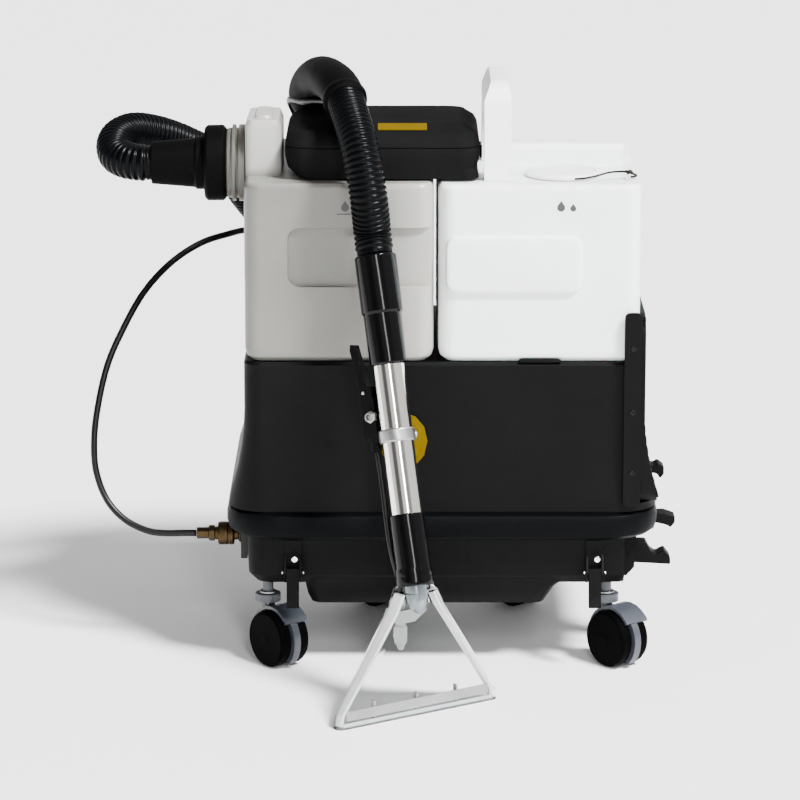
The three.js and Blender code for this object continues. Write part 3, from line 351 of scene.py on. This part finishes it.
# ---------------------------------------------------------------- hoses
def catmull_rom(points, per_span=24):
    """Smooth curve through the points, with centripetal spacing."""
    p = [np.array(q, float) for q in points]
    p = [2 * p[0] - p[1]] + p + [2 * p[-1] - p[-2]]
    out = []
    for i in range(1, len(p) - 2):
        a, b, c, d = p[i - 1:i + 3]
        t0 = 0.0
        t1 = t0 + math.sqrt(np.linalg.norm(b - a))
        t2 = t1 + math.sqrt(np.linalg.norm(c - b))
        t3 = t2 + math.sqrt(np.linalg.norm(d - c))
        for t in np.linspace(t1, t2, per_span, endpoint=False):
            ab = (t1 - t) / (t1 - t0) * a + (t - t0) / (t1 - t0) * b
            bc = (t2 - t) / (t2 - t1) * b + (t - t1) / (t2 - t1) * c
            cd = (t3 - t) / (t3 - t2) * c + (t - t2) / (t3 - t2) * d
            abc = (t2 - t) / (t2 - t0) * ab + (t - t0) / (t2 - t0) * bc
            bcd = (t3 - t) / (t3 - t1) * bc + (t - t1) / (t3 - t1) * cd
            out.append((t2 - t) / (t2 - t1) * abc + (t - t1) / (t2 - t1) * bcd)
    out.append(p[-2])
    return np.array(out)


def evenly(points, step):
    """The same line with evenly spaced points, how far along each one is, and the whole length."""
    lengths = np.linalg.norm(np.diff(points, axis=0), axis=1)
    run = np.concatenate([[0.0], np.cumsum(lengths)])
    total = run[-1]
    where = np.linspace(0, total, max(2, int(round(total / step)) + 1))
    return np.stack([np.interp(where, run, points[:, k]) for k in range(3)], axis=1), where, total


def frames_along(line):
    """Two cross directions at each point of a line, turning as little as possible."""
    tangents = np.gradient(line, axis=0)
    tangents /= np.linalg.norm(tangents, axis=1)[:, None]
    side = np.cross(tangents[0], [0.0, 0.0, 1.0])
    if np.linalg.norm(side) < 1e-3:
        side = np.cross(tangents[0], [0.0, 1.0, 0.0])
    sides, ups = [], []
    for t in tangents:
        side = side - t * side.dot(t)
        side /= np.linalg.norm(side)
        sides.append(side)
        ups.append(np.cross(t, side))
    return np.array(sides), np.array(ups)


def skin(name, line, radii, finish, around=28):
    """Closed tube round a line of ring centres, with its own radius at each ring."""
    sides, ups = frames_along(line)
    angles = np.linspace(0, 2 * math.pi, around, endpoint=False)
    verts = []
    for centre, side, up, radius in zip(line, sides, ups, radii):
        for a in angles:
            verts.append(centre + radius * (math.cos(a) * side + math.sin(a) * up))
    faces = []
    for j in range(len(line) - 1):
        for i in range(around):
            k = (i + 1) % around
            faces.append((j * around + i, j * around + k, (j + 1) * around + k, (j + 1) * around + i))
    faces.append(tuple(reversed(range(around))))
    faces.append(tuple((len(line) - 1) * around + i for i in range(around)))
    return new_object(name, verts, faces, finish)


knee = np.array(at(-27.5, -292, 128))
wand_top = np.array(at(-67.3, -190, 438))
WAND_LENGTH = np.linalg.norm(wand_top - knee)
wand_dir = (wand_top - knee) / WAND_LENGTH


def on_wand(mm):
    """Point on the wand's axis, in millimetres up from its knee above the nozzle."""
    return knee + wand_dir * mm * MM


VALVE_SIDE = math.radians(144)
valve_out = np.array((math.cos(VALVE_SIDE), math.sin(VALVE_SIDE), 0.0))
valve_out -= wand_dir * valve_out.dot(wand_dir)
valve_out /= np.linalg.norm(valve_out)
wand_side = np.cross(wand_dir, valve_out)


def valve_at(out, up, across=0.0):
    """Point by the spray valve: out from the wand's axis, up along it and across it, in millimetres."""
    return on_wand(up) + (valve_out * out + wand_side * across) * MM


cuff_end_x = (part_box("hose_cuff")[0].x - CENTRE.x) / MM
HOSE_ROUTE = [at(*p) for p in [
    (cuff_end_x - 0.6, -50, 507), (cuff_end_x - 10, -50, 507), (-319, -44, 508), (-331, -30, 511),
    (-335, -10, 519), (-330, 12, 525), (-317, 31, 527), (-296, 50, 521), (-272, 76, 508),
    (-247, 104, 490), (-222, 132, 466), (-207, 160, 438), (-184, 178, 404), (-160, 187, 364),
    (-138, 191, 322), (-106, 192, 270), (-60, 192, 222), (8, 192, 188), (86, 192, 190),
    (145, 192, 230), (173, 192, 299), (163, 192, 373), (120, 190, 431), (57, 187, 463),
    (-10, 182, 480), (-65, 172, 497), (-104, 150, 520), (-124, 112, 535), (-133, 71, 556),
    (-130, 38, 574), (-124, -2, 587), (-114, -50, 592), (-102, -100, 588), (-92, -145, 570),
    (-82, -178, 541), (-74, -190, 498),
]]
HOSE_ROUTE += [on_wand(WAND_LENGTH / MM + 22.8), on_wand(WAND_LENGTH / MM + 0.8)]
RIB_PITCH = 0.0054
STEPS_PER_RIB = 6
VALLEY_R = 0.0163
RIB_HEIGHT = 0.0027
RIB_FULLNESS = 0.6
PLAIN_END = 0.004
PLAIN_R = 0.0176
hose_line, hose_run, hose_length = evenly(catmull_rom(HOSE_ROUTE), RIB_PITCH / STEPS_PER_RIB)
rib_share = np.abs(np.sin(math.pi * hose_run / RIB_PITCH))
hose_radii = VALLEY_R + RIB_HEIGHT * rib_share ** RIB_FULLNESS
plain_part = (hose_run < PLAIN_END) | (hose_run > hose_length - PLAIN_END)
hose_radii[plain_part] = PLAIN_R
suction_hose = skin("suction_hose_ribbed", hose_line, hose_radii, RUBBER, around=32)
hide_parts("suction_hose")

SLEEVE_FROM, SLEEVE_TO = 0.705, 0.9
SLEEVE_R = 0.0211
SWELL, SWELL_AT, SWELL_SPREAD = 0.0048, 0.44, 0.13
RIM_HEIGHT, RIM_FROM_END, RIM_SPREAD = 0.0014, 0.015, 0.012


def hump(share, middle, spread):
    """Smooth rise to 1 at the middle and back to 0."""
    return np.exp(-((share - middle) / spread) ** 2)


sleeve_part = (hose_run > SLEEVE_FROM * hose_length) & (hose_run < SLEEVE_TO * hose_length)
sleeve_line = hose_line[sleeve_part]
share = np.linspace(0, 1, len(sleeve_line))
sleeve_radii = SLEEVE_R + SWELL * hump(share, SWELL_AT, SWELL_SPREAD)
rims = hump(share, 1 - RIM_FROM_END, RIM_SPREAD) + hump(share, RIM_FROM_END, RIM_SPREAD)
sleeve_radii += RIM_HEIGHT * rims
hose_sleeve = skin("suction_hose_sleeve", sleeve_line, sleeve_radii, SLEEVE, around=40)

BESIDE = 0.0252


def beside_hose(share, *aim):
    """Point on one side of the suction hose, at a share of its length."""
    i = min(int(round(share * (len(hose_line) - 1))), len(hose_line) - 2)
    along = hose_line[i + 1] - hose_line[i - 1]
    along /= np.linalg.norm(along)
    off = np.array(aim, float)
    off -= along * off.dot(along)
    return hose_line[i] + off / np.linalg.norm(off) * BESIDE


def near_wand(mm, x, y):
    """Point beside the wand's axis, in millimetres up it and then sideways and back."""
    return on_wand(mm) + np.array((x, y, 0.0)) * MM


THIN_D = 0.007
THIN_STEP = 0.003
THIN_ROUTE = [at(*p) for p in [
    (-253.6, -60, 121), (-265, -60, 121), (-286, -59.5, 120.6), (-303, -58, 122.4), (-327, -52, 132.6),
    (-346, -44, 151), (-358, -36, 181), (-360, -30, 211), (-357, -22, 241.5), (-346.6, -8, 287),
    (-333, 6, 318), (-310, 28, 357), (-282, 52, 384.5), (-251.5, 78, 400.4), (-224, 104, 405),
    (-209, 130, 404), (-194, 148, 403), (-170, 149.6, 401), (-142, 149.6, 401), (-116, 149.8, 416),
    (-105, 151.5, 446), (-113, 158, 478), (-129, 153, 507),
]]
THIN_ROUTE += [
    beside_hose(0.735, -1, 0, -0.1), beside_hose(0.76, -0.8, 0, -1), beside_hose(0.785, -1, -0.1, -0.25),
    beside_hose(0.81, -0.55, -0.2, -0.85), beside_hose(0.845, 0, 0, -1), beside_hose(0.88, 0, 0.3, -1),
    beside_hose(0.92, -0.1, 1, -0.8), beside_hose(0.955, -0.3, 1, -0.1), beside_hose(0.985, -0.3, 1, 0),
    near_wand(275, -2, 28), near_wand(235, -1, 30), near_wand(205, -3, 35),
    valve_at(25, 184, -33), valve_at(27, 172, -27), valve_at(27, 170, -14.6),
]
thin_line, _, thin_length = evenly(catmull_rom(THIN_ROUTE), THIN_STEP)
solution_hose = skin("solution_hose_smooth", thin_line, np.full(len(thin_line), THIN_D / 2), THIN,
                     around=16)
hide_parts("solution_hose")

for piece in (suction_hose, hose_sleeve, solution_hose):
    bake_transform(piece)

TETHER_D = 0.0022
TETHER_STEP = 0.0012
KNOT_SCALE = 0.0011
TETHER_ROUTE = [at(*p) for p in [
    (131, -128.2, 503.4), (140, -129, 504.2), (152, -126, 506), (165, -120, 508.5), (176, -114, 508.5),
    (184, -107.5, 507), (191, -108, 505), (193, -114, 504.5), (190.5, -118.5, 504.3), (187, -118.6, 504.3),
]]
tether_line, _, tether_length = evenly(catmull_rom(TETHER_ROUTE), TETHER_STEP)
cap_tether = skin("cap_tether_cord", tether_line, np.full(len(tether_line), TETHER_D / 2), THIN,
                  around=12)
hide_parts("cap_tether")
turn = np.linspace(0, 2 * math.pi, 61)[:-1]
knot_centre = np.array(at(186, -109, 507.2))
knot_line = knot_centre + KNOT_SCALE * np.stack([
    np.sin(turn) + 2 * np.sin(2 * turn), np.cos(turn) - 2 * np.cos(2 * turn), -np.sin(3 * turn)], axis=1)
tether_knot = skin("cap_tether_knot", knot_line, np.full(len(knot_line), TETHER_D / 2), THIN, around=10)
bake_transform(cap_tether)
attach(tether_knot, "base")

# ---------------------------------------------------------------- casters
CASTERS = {"front_left": (-178, -112), "front_right": (168, -112), "rear_left": (-75, 112),
           "rear_right": (75, 112)}
WHEEL_R, WHEEL_FACE, TRAIL, WASHER_Z = 29, 17, 18, 72.4
trail_dir = Vector((0.62, -0.785, 0)).normalized()
axle_dir = trail_dir.cross(Z)
HUB_CAP = [(27.4, -0.2), (27.4, 0.3), (26.4, 0.8), (25.2, 0.8), (24.4, 0.5), (6.5, 0.6), (6, 0.9), (0.05, 1)]
for name, (x, y) in CASTERS.items():
    hub = at(x, y, WHEEL_R) + trail_dir * TRAIL * MM
    for end, way in (("outer", axle_dir), ("inner", -axle_dir)):
        cap = lathe(f"caster_hub_cap_{name}_{end}", HUB_CAP, hub + way * WHEEL_FACE * MM, way, CASTER,
                    segments=48)
        add_piece(cap, f"wheels_{name}")
    washer = lathe(f"caster_washer_{name}", [(5.7, 0), (8.6, 0), (8.6, 2), (5.7, 2)], at(x, y, WASHER_Z), Z,
                   ZINC, closed=True, edge=0.4)
    add_piece(washer, f"caster_{name}")

# ---------------------------------------------------------------- latches, screws and vents
FRONT_Y, BACK_Y = -145.0, 145.1
SCREW = [(3.1, 0), (3.0, 0.7), (2.4, 1.0), (1.5, 1.0), (1.2, 0.4), (0.05, 0.4)]
for name, x in (("left", -151.5), ("right", 154.5)):
    pin = lathe(f"latch_pin_{name}", [(1.6, -11.2), (1.9, -10.8), (1.9, 10.8), (1.6, 11.2)],
                at(x, -147.5, 103), X, STEEL, segments=20)
    add_piece(pin, "base")
    screw = lathe(f"latch_screw_{name}", SCREW, at(x + 2, -152.3, 118), -Y, STEEL, segments=24)
    add_piece(screw, "base")
for count, z in enumerate((336, 271, 208)):
    screw = lathe(f"grille_screw_{count + 1}", SCREW, at(190.5, -153.4, z), -Y, GLOSS, segments=24)
    add_piece(screw, "base")
for count in range(8):
    slat = plate(f"head_vent_slat_{count + 1}", rounded(0, 9, 0, 15, 2), 1.0,
                 at(-128 + 15 * count, 38.1, 512), Z, X, HEAD, edge=0.3)
    add_piece(slat, "base")
for count in range(6):
    louvre = plate(f"shell_louvre_{count + 1}", rounded(0, 2.6, 0, 78, 1.2), 1.5,
                   at(-162, BACK_Y, 277 + 6 * count), Z, X, BLACK, edge=0.5)
    add_piece(louvre, "base")
rating_plate = plate("blank_rating_plate", rounded(0, 26, 0, 52, 2), 0.4, at(-68, BACK_Y, 280), Z, X,
                     DARK_ZINC, edge=0.1)
add_piece(rating_plate, "base")

HOOKS = {
    "cord_hook_top": [(212.3, 188), (221, 186.5), (224.5, 181.5), (228.5, 186), (228.5, 193.5), (222.2, 198),
                      (218, 195.3), (212.3, 196)],
    "cord_hook_middle": [(220, 134.7), (231, 132.2), (236.3, 129.3), (240.6, 134.7), (240.6, 141),
                         (229.2, 145), (220, 144.5)],
    "cord_hook_bottom": [(198.5, 92), (236.5, 90), (236.5, 97.2), (229.8, 105.5), (221.2, 101), (216, 104.5),
                         (210.7, 114), (198.5, 114)],
}
for name, outline in HOOKS.items():
    hook = plate(f"{name}_shaped", outline, 20, at(0, -50, 0), X, Z, BLACK, edge=1.2)
    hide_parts(name)
    add_piece(hook, "base")


def flare(z):
    """How far the shell's side stands out at a height."""
    return float(np.interp(z, (166, 184, 196, 210, 230, 250, 270), (18, 15, 11, 7.5, 3.6, 1, 0)))


WEAVE_X, WEAVE_FRONT, WEAVE_BACK = 201.6, -147.5, -136
WEAVE_LOW, WEAVE_PITCH, WEAVE_RISE = 182, 11, 9
STRAND_RADII = (0.0011, 0.0015, 0.0017, 0.0015, 0.0011)
for count in range(17):
    low = WEAVE_LOW + WEAVE_PITCH * count
    high = low + WEAVE_RISE
    for name, z0, z1 in (("up", low, high), ("down", high, low)):
        front = at(WEAVE_X + flare(z0), WEAVE_FRONT, z0)
        back = at(WEAVE_X + flare(z1), WEAVE_BACK, z1)
        steps = np.array([front + (back - front) * t for t in np.linspace(0, 1, len(STRAND_RADII))])
        strand = skin(f"grille_weave_{name}_{count + 1}", steps, STRAND_RADII, BLACK, around=8)
        add_piece(strand, "base")

# ---------------------------------------------------------------- tanks
PORT_R, RING_R = 37.4, 38.9
for count, (near, far) in enumerate(((0.4, 6.9), (10, 13.5))):
    ring = lathe(f"port_ring_{count + 1}", [(PORT_R, near), (RING_R, near), (RING_R, far), (PORT_R, far)],
                 at(-198.8, -50, 507), -X, PORT_RING, closed=True, segments=64, edge=0.4)
    add_piece(ring, "base")
cap_ring = lathe("filler_cap_ring", [(30.5, -0.2), (31.5, 0.7), (34.5, 0.7), (35.5, -0.2)],
                 at(121, -88, 505.8), Z, CLEAN, closed=True, segments=64, edge=0.3)
add_piece(cap_ring, "cap")


def droplet(width, height, steps=14):
    """Outline of a water drop standing on its round end."""
    r = width / 2
    angles = np.linspace(math.radians(150), math.radians(390), steps)
    round_end = [(r * math.cos(a), r + r * math.sin(a)) for a in angles]
    return round_end + [(width * 0.12, height * 0.86), (0, height), (-width * 0.12, height * 0.86)]


INK_DEPTH, INK_EDGE, PICTOGRAM_Z = 0.3, 0.05, 473.5
PICTOGRAMS = {"waste": [(-97.5, 8, 11)], "clean": [(117, 8, 11), (129, 6, 8)]}
for name, drops in PICTOGRAMS.items():
    for count, (x, wide, high) in enumerate(drops):
        drop = plate(f"{name}_pictogram_{count + 1}", droplet(wide, high), INK_DEPTH,
                     at(x, FRONT_Y, PICTOGRAM_Z), X, Z, INK, edge=INK_EDGE)
        add_piece(drop, "base")
bar = plate("waste_pictogram_bar", [(-8, 0), (8, 0), (8, 1.2), (-8, 1.2)], INK_DEPTH,
            at(-97.5, FRONT_Y, PICTOGRAM_Z - 3.2), X, Z, INK, edge=INK_EDGE)
add_piece(bar, "base")

# ---------------------------------------------------------------- wand
fitting = lathe("valve_fitting", [(3, 0), (5.6, 0), (5.6, 4), (4.7, 4.4), (4.7, 7.4), (3, 7.4)],
                valve_at(27, 170, -7.2), Vector(-wand_side), STEEL, closed=True, segments=6, edge=0.3)
add_piece(fitting, "wand")
inlet = lathe("valve_inlet_nut", [(6.2, 0), (6.2, 5), (4.6, 5.6), (4.6, 8), (3.2, 8), (3.2, 3), (0.05, 3)],
              valve_at(21.5, 171, 7.2), Vector(wand_side), ZINC, segments=6, edge=0.4)
add_piece(inlet, "wand")
lip_ring = [(18.7, 11), (18.9, 6), (18.6, 2.5), (17.9, 1.2), (17.2, 2.5), (17.4, 8)]
cuff_lip = lathe("wand_cuff_lip", lip_ring, on_wand(0), Vector(wand_dir), GLOSS, closed=True, segments=48,
                 edge=0.3)
add_piece(cuff_lip, "wand")
clamp_way = Vector(-valve_out * 0.5 - wand_side * 0.87).normalized()
clamp_screw = lathe("clamp_screw", [(3.4, 0), (3.4, 2.6), (2.6, 3.2), (0.05, 3.2)],
                    Vector(on_wand(149.5)) + clamp_way * 17.6 * MM, clamp_way, ZINC, segments=24, edge=0.3)
add_piece(clamp_screw, "wand")

# ---------------------------------------------------------------- nozzle
NOZZLE_FOOT = at(-27.5, -292, 0)
yaw = math.radians(34)
slot_dir = Vector((math.cos(yaw), math.sin(yaw), 0))
slot_back = Vector((-math.sin(yaw), math.cos(yaw), 0))
SKIRT_Z = (0, 12, 70, 108, 128)
SKIRT_WIDTH = (190, 186, 112, 62, 44)
SKIRT_DEPTH = (15, 15, 22, 29, 32)


def on_nozzle(across, back, z):
    """Point by the nozzle: along its slot, behind it and above the floor, in millimetres."""
    return NOZZLE_FOOT + (slot_dir * across + slot_back * back + Z * z) * MM


WALL_LEVELS = (2, 12, 30, 50, 70, 90, 108, 124)
WALL_INSET, WALL_THICK, WALL_BACK, WALL_DEPTH = 3.6, 3.8, 3.8, 6.5
for name, way in (("left", -1), ("right", 1)):
    verts = []
    for z in WALL_LEVELS:
        outer = np.interp(z, SKIRT_Z, SKIRT_WIDTH) / 2 - WALL_INSET
        inner = outer - WALL_THICK
        deep = min(np.interp(z, SKIRT_Z, SKIRT_DEPTH) / 2 - WALL_BACK, WALL_DEPTH)
        for across, back in ((outer, -deep), (outer, deep), (inner, deep), (inner, -deep)):
            verts.append(on_nozzle(way * across, back, z))
    faces = [(0, 1, 2, 3), tuple(4 * (len(WALL_LEVELS) - 1) + k for k in range(4))]
    for j in range(len(WALL_LEVELS) - 1):
        faces += [(4 * j + k, 4 * j + (k + 1) % 4, 4 * j + 4 + (k + 1) % 4, 4 * j + 4 + k) for k in range(4)]
    wall = new_object(f"nozzle_side_wall_{name}", verts, faces, FROSTED)
    soften(wall, 0.5)
    add_piece(wall, "wand")
lip = plate("nozzle_lip", rounded(-88, 88, 1, 5, 1.5), 1.6, on_nozzle(0, -3, 0), slot_dir, Z, FROSTED,
            edge=0.3)
add_piece(lip, "wand")
channel = plate("nozzle_slot_channel", rounded(-84, 84, 7, 17, 2), 1.2, on_nozzle(0, -3.2, 0), slot_dir, Z,
                CHANNEL, edge=0.3)
add_piece(channel, "wand")
for count, across in enumerate((-50, 0, 47)):
    rib = plate(f"nozzle_rib_{count + 1}", rounded(-1.0, 1.0, 4, 22, 0.5), 5.5, on_nozzle(across, 2.6, 0),
                slot_dir, Z, CHANNEL, edge=0.3)
    add_piece(rib, "wand")
THROAT_PROFILE = [(10.6, 0), (10.9, 12), (10.2, 20), (8, 27), (4.5, 31), (0.05, 32.5)]
throat = lathe("nozzle_throat", THROAT_PROFILE, on_wand(7), Vector(-wand_dir), THROAT, edge=0.3)
add_piece(throat, "wand")

# ---------------------------------------------------------------- floor and light
FLOOR_HALF = 30.0
WORLD_STRENGTH = 0.95
WORLD_EDGE = (0.8, 0.8, 0.8, 1.0)
WORLD_BANDS = [(0.05, 1.0), (0.08, 0.12), (0.14, 0.12), (0.17, 0.9), (0.22, 0.9), (0.27, 0.04), (0.36, 0.04),
               (0.42, 0.8), (0.6, 1.0), (0.86, 1.0), (0.9, 0.3), (0.95, 0.3)]
SUN_ENERGY = 13.3
SUN_ANGLE = math.radians(13)
SUN_WAY = Vector((-1.0, 0.95, -1.7))
STRIP_PLACE = Vector((0.3, -3.0, 1.1))
STRIP_SIZE = (0.3, 1.5)
STRIP_POWER = 60


def add_stage():
    """Plain pale floor."""
    h = FLOOR_HALF
    pale = material("pale_floor", (0.9, 0.9, 0.9), 0.7, spread=0.004, grain=0.02)
    floor = new_object("floor", [(-h, -h, 0), (h, -h, 0), (h, h, 0), (-h, h, 0)], [(0, 1, 2, 3)], pale)


def area_light(name, place, aim, size, power):
    """Rectangular light at a place, aimed at another."""
    data = bpy.data.lights.new(name, "AREA")
    data.shape = "RECTANGLE"
    data.size, data.size_y = size
    data.energy = power
    o = bpy.data.objects.new(name, data)
    bpy.context.scene.collection.objects.link(o)
    direction = (Vector(aim) - Vector(place)).normalized()
    o.matrix_world = Matrix.Translation(place) @ direction.to_track_quat("-Z", "Y").to_matrix().to_4x4()


def add_world():
    """Bright studio with a few darker upright bands, which polished metal shows as streaks."""
    world = bpy.data.worlds.new("studio")
    world.use_nodes = True
    tree = world.node_tree
    place = tree.nodes.new("ShaderNodeTexCoord")
    split = tree.nodes.new("ShaderNodeSeparateXYZ")
    tree.links.new(place.outputs["Generated"], split.inputs["Vector"])
    bearing = tree.nodes.new("ShaderNodeMath")
    bearing.operation = "ARCTAN2"
    tree.links.new(split.outputs["X"], bearing.inputs[0])
    tree.links.new(split.outputs["Y"], bearing.inputs[1])
    share = tree.nodes.new("ShaderNodeMapRange")
    share.inputs["From Min"].default_value = -math.pi
    share.inputs["From Max"].default_value = math.pi
    tree.links.new(bearing.outputs["Value"], share.inputs["Value"])
    ramp = tree.nodes.new("ShaderNodeValToRGB")
    ramp.color_ramp.elements[0].position = 0.0
    ramp.color_ramp.elements[0].color = WORLD_EDGE
    ramp.color_ramp.elements[1].position = 1.0
    ramp.color_ramp.elements[1].color = WORLD_EDGE
    for position, level in WORLD_BANDS:
        stop = ramp.color_ramp.elements.new(position)
        stop.color = (level, level, level, 1.0)
    tree.links.new(share.outputs["Result"], ramp.inputs["Fac"])
    tree.links.new(ramp.outputs["Color"], tree.nodes["Background"].inputs["Color"])
    tree.nodes["Background"].inputs["Strength"].default_value = WORLD_STRENGTH
    bpy.context.scene.world = world


def add_lights():
    """Key light from high in front at the right, and a tall strip that gives gloss its highlights."""
    sun = bpy.data.lights.new("key", "SUN")
    sun.energy = SUN_ENERGY
    sun.angle = SUN_ANGLE
    o = bpy.data.objects.new("key", sun)
    bpy.context.scene.collection.objects.link(o)
    o.rotation_euler = SUN_WAY.to_track_quat("-Z", "Y").to_euler()
    middle = at(0, 0, 300)
    area_light("strip", middle + STRIP_PLACE, middle, STRIP_SIZE, STRIP_POWER)


add_stage()
add_world()
add_lights()
